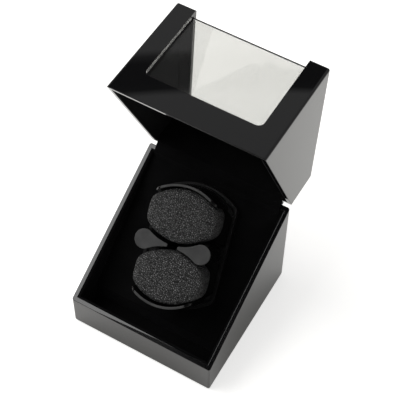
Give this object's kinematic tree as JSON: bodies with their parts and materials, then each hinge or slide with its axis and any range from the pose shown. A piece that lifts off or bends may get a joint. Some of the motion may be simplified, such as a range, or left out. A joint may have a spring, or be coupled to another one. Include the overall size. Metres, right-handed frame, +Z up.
{
  "type": "watch winder",
  "caption": "Lacquered table-top box sawn on a slant, lid with a bent clear window, and a motor-turned cradle holding two leather watch cushions over a tilted velvet deck.",
  "frame": {"origin": "centre of the felt sheet under the case, on the surface it stands on", "axes": "+X to the case's right as seen from the front, +Y to the back where the hinge is, +Z up"},
  "size_m": [0.18, 0.24, 0.3249],
  "materials": {
    "lacquer": "black polyester lacquer on MDF, polished to a mirror gloss",
    "board": "bare MDF",
    "felt": "pressed black felt",
    "velvet": "short-pile charcoal velvet on card or board",
    "acrylic": "clear polished acrylic",
    "moulding": "satin charcoal ABS",
    "leather": "pebbled black synthetic leather",
    "steel": "plain steel",
    "zinc_plated": "bright zinc plating",
    "motor_can": "plated steel can",
    "brass": "machined",
    "bronze": "sintered, oil filled",
    "pulley_plastic": "turned white acetal",
    "belt_rubber": "smooth flat rubber",
    "circuit_board": "green solder mask",
    "nylon": "natural nylon",
    "panel_plastic": "fine-grained black ABS"
  },
  "bodies": {
    "case": {"base_case": "lacquer", "bottom_panel": "board", "bottom_felt": "felt", "base_lining_left": "velvet", "base_lining_right": "velvet", "base_lining_front": "velvet", "base_lining_back": "velvet", "deck_panel": "velvet", "deck_riser": "velvet", "well_floor": "velvet", "deck_battens": "board", "motor_plate": "steel", "plate_standoffs": "brass", "plate_screws": "zinc_plated", "shaft_bush": "bronze", "gear_motor": "motor_can", "motor_screws": "zinc_plated", "drive_belt": "belt_rubber", "control_board": "circuit_board", "board_standoffs": "nylon", "socket_panel": "panel_plastic", "socket_panel_screws": "zinc_plated", "power_jack": "panel_plastic", "mode_switch": "panel_plastic", "hinge_base_leaf": "zinc_plated", "hinge_pin": "zinc_plated", "hinge_base_screws": "zinc_plated"},
    "lid": {"lid_case": "lacquer", "lid_window": "acrylic", "lid_lining_left": "velvet", "lid_lining_right": "velvet", "lid_lining_back": "velvet", "lid_lining_front": "velvet", "lid_lining_top": "velvet", "hinge_lid_leaf": "zinc_plated", "hinge_lid_screws": "zinc_plated"},
    "rotor": {"cradle": "moulding", "rotor_hub": "moulding", "rotor_shaft": "steel", "shaft_clip": "steel", "driven_pulley": "pulley_plastic", "cradle_screws": "zinc_plated"},
    "motor_drive": {"motor_pulley": "pulley_plastic", "motor_shaft": "steel"},
    "upper_cushion": {"cushion_upper": "leather"},
    "lower_cushion": {"cushion_lower": "leather"},
    "knob": {"selector_knob": "panel_plastic"}
  },
  "joints": [
    {"name": "lid_hinge", "type": "hinge", "parent": "case", "child": "lid", "pos_m": [0, 0.0906, 0.1402], "axis": [1, 0, 0], "range_deg": [0, 93.8]},
    {"name": "rotor_spin", "type": "hinge", "parent": "case", "child": "rotor", "pos_m": [0, 0.0215, 0.0839], "axis": [0, -0.6088, 0.7934], "continuous": true},
    {"name": "motor_spin", "type": "hinge", "parent": "case", "child": "motor_drive", "pos_m": [-0.046, 0.0215, 0.0839], "axis": [0, -0.6088, 0.7934], "continuous": true},
    {"name": "cushion_upper_lift", "type": "slide", "parent": "rotor", "child": "upper_cushion", "axis": [0, -0.6088, 0.7934], "range_m": [0, 0.007]},
    {"name": "cushion_lower_lift", "type": "slide", "parent": "rotor", "child": "lower_cushion", "axis": [0, -0.6088, 0.7934], "range_m": [0, 0.007]},
    {"name": "selector_turn", "type": "hinge", "parent": "case", "child": "knob", "pos_m": [-0.013, 0.0885, 0.031], "axis": [0, -1, 0], "range_deg": [0, 90]}
  ],
  "couplings": [
    {"joint": "motor_spin", "follows": "rotor_spin", "ratio": 4}
  ]
}
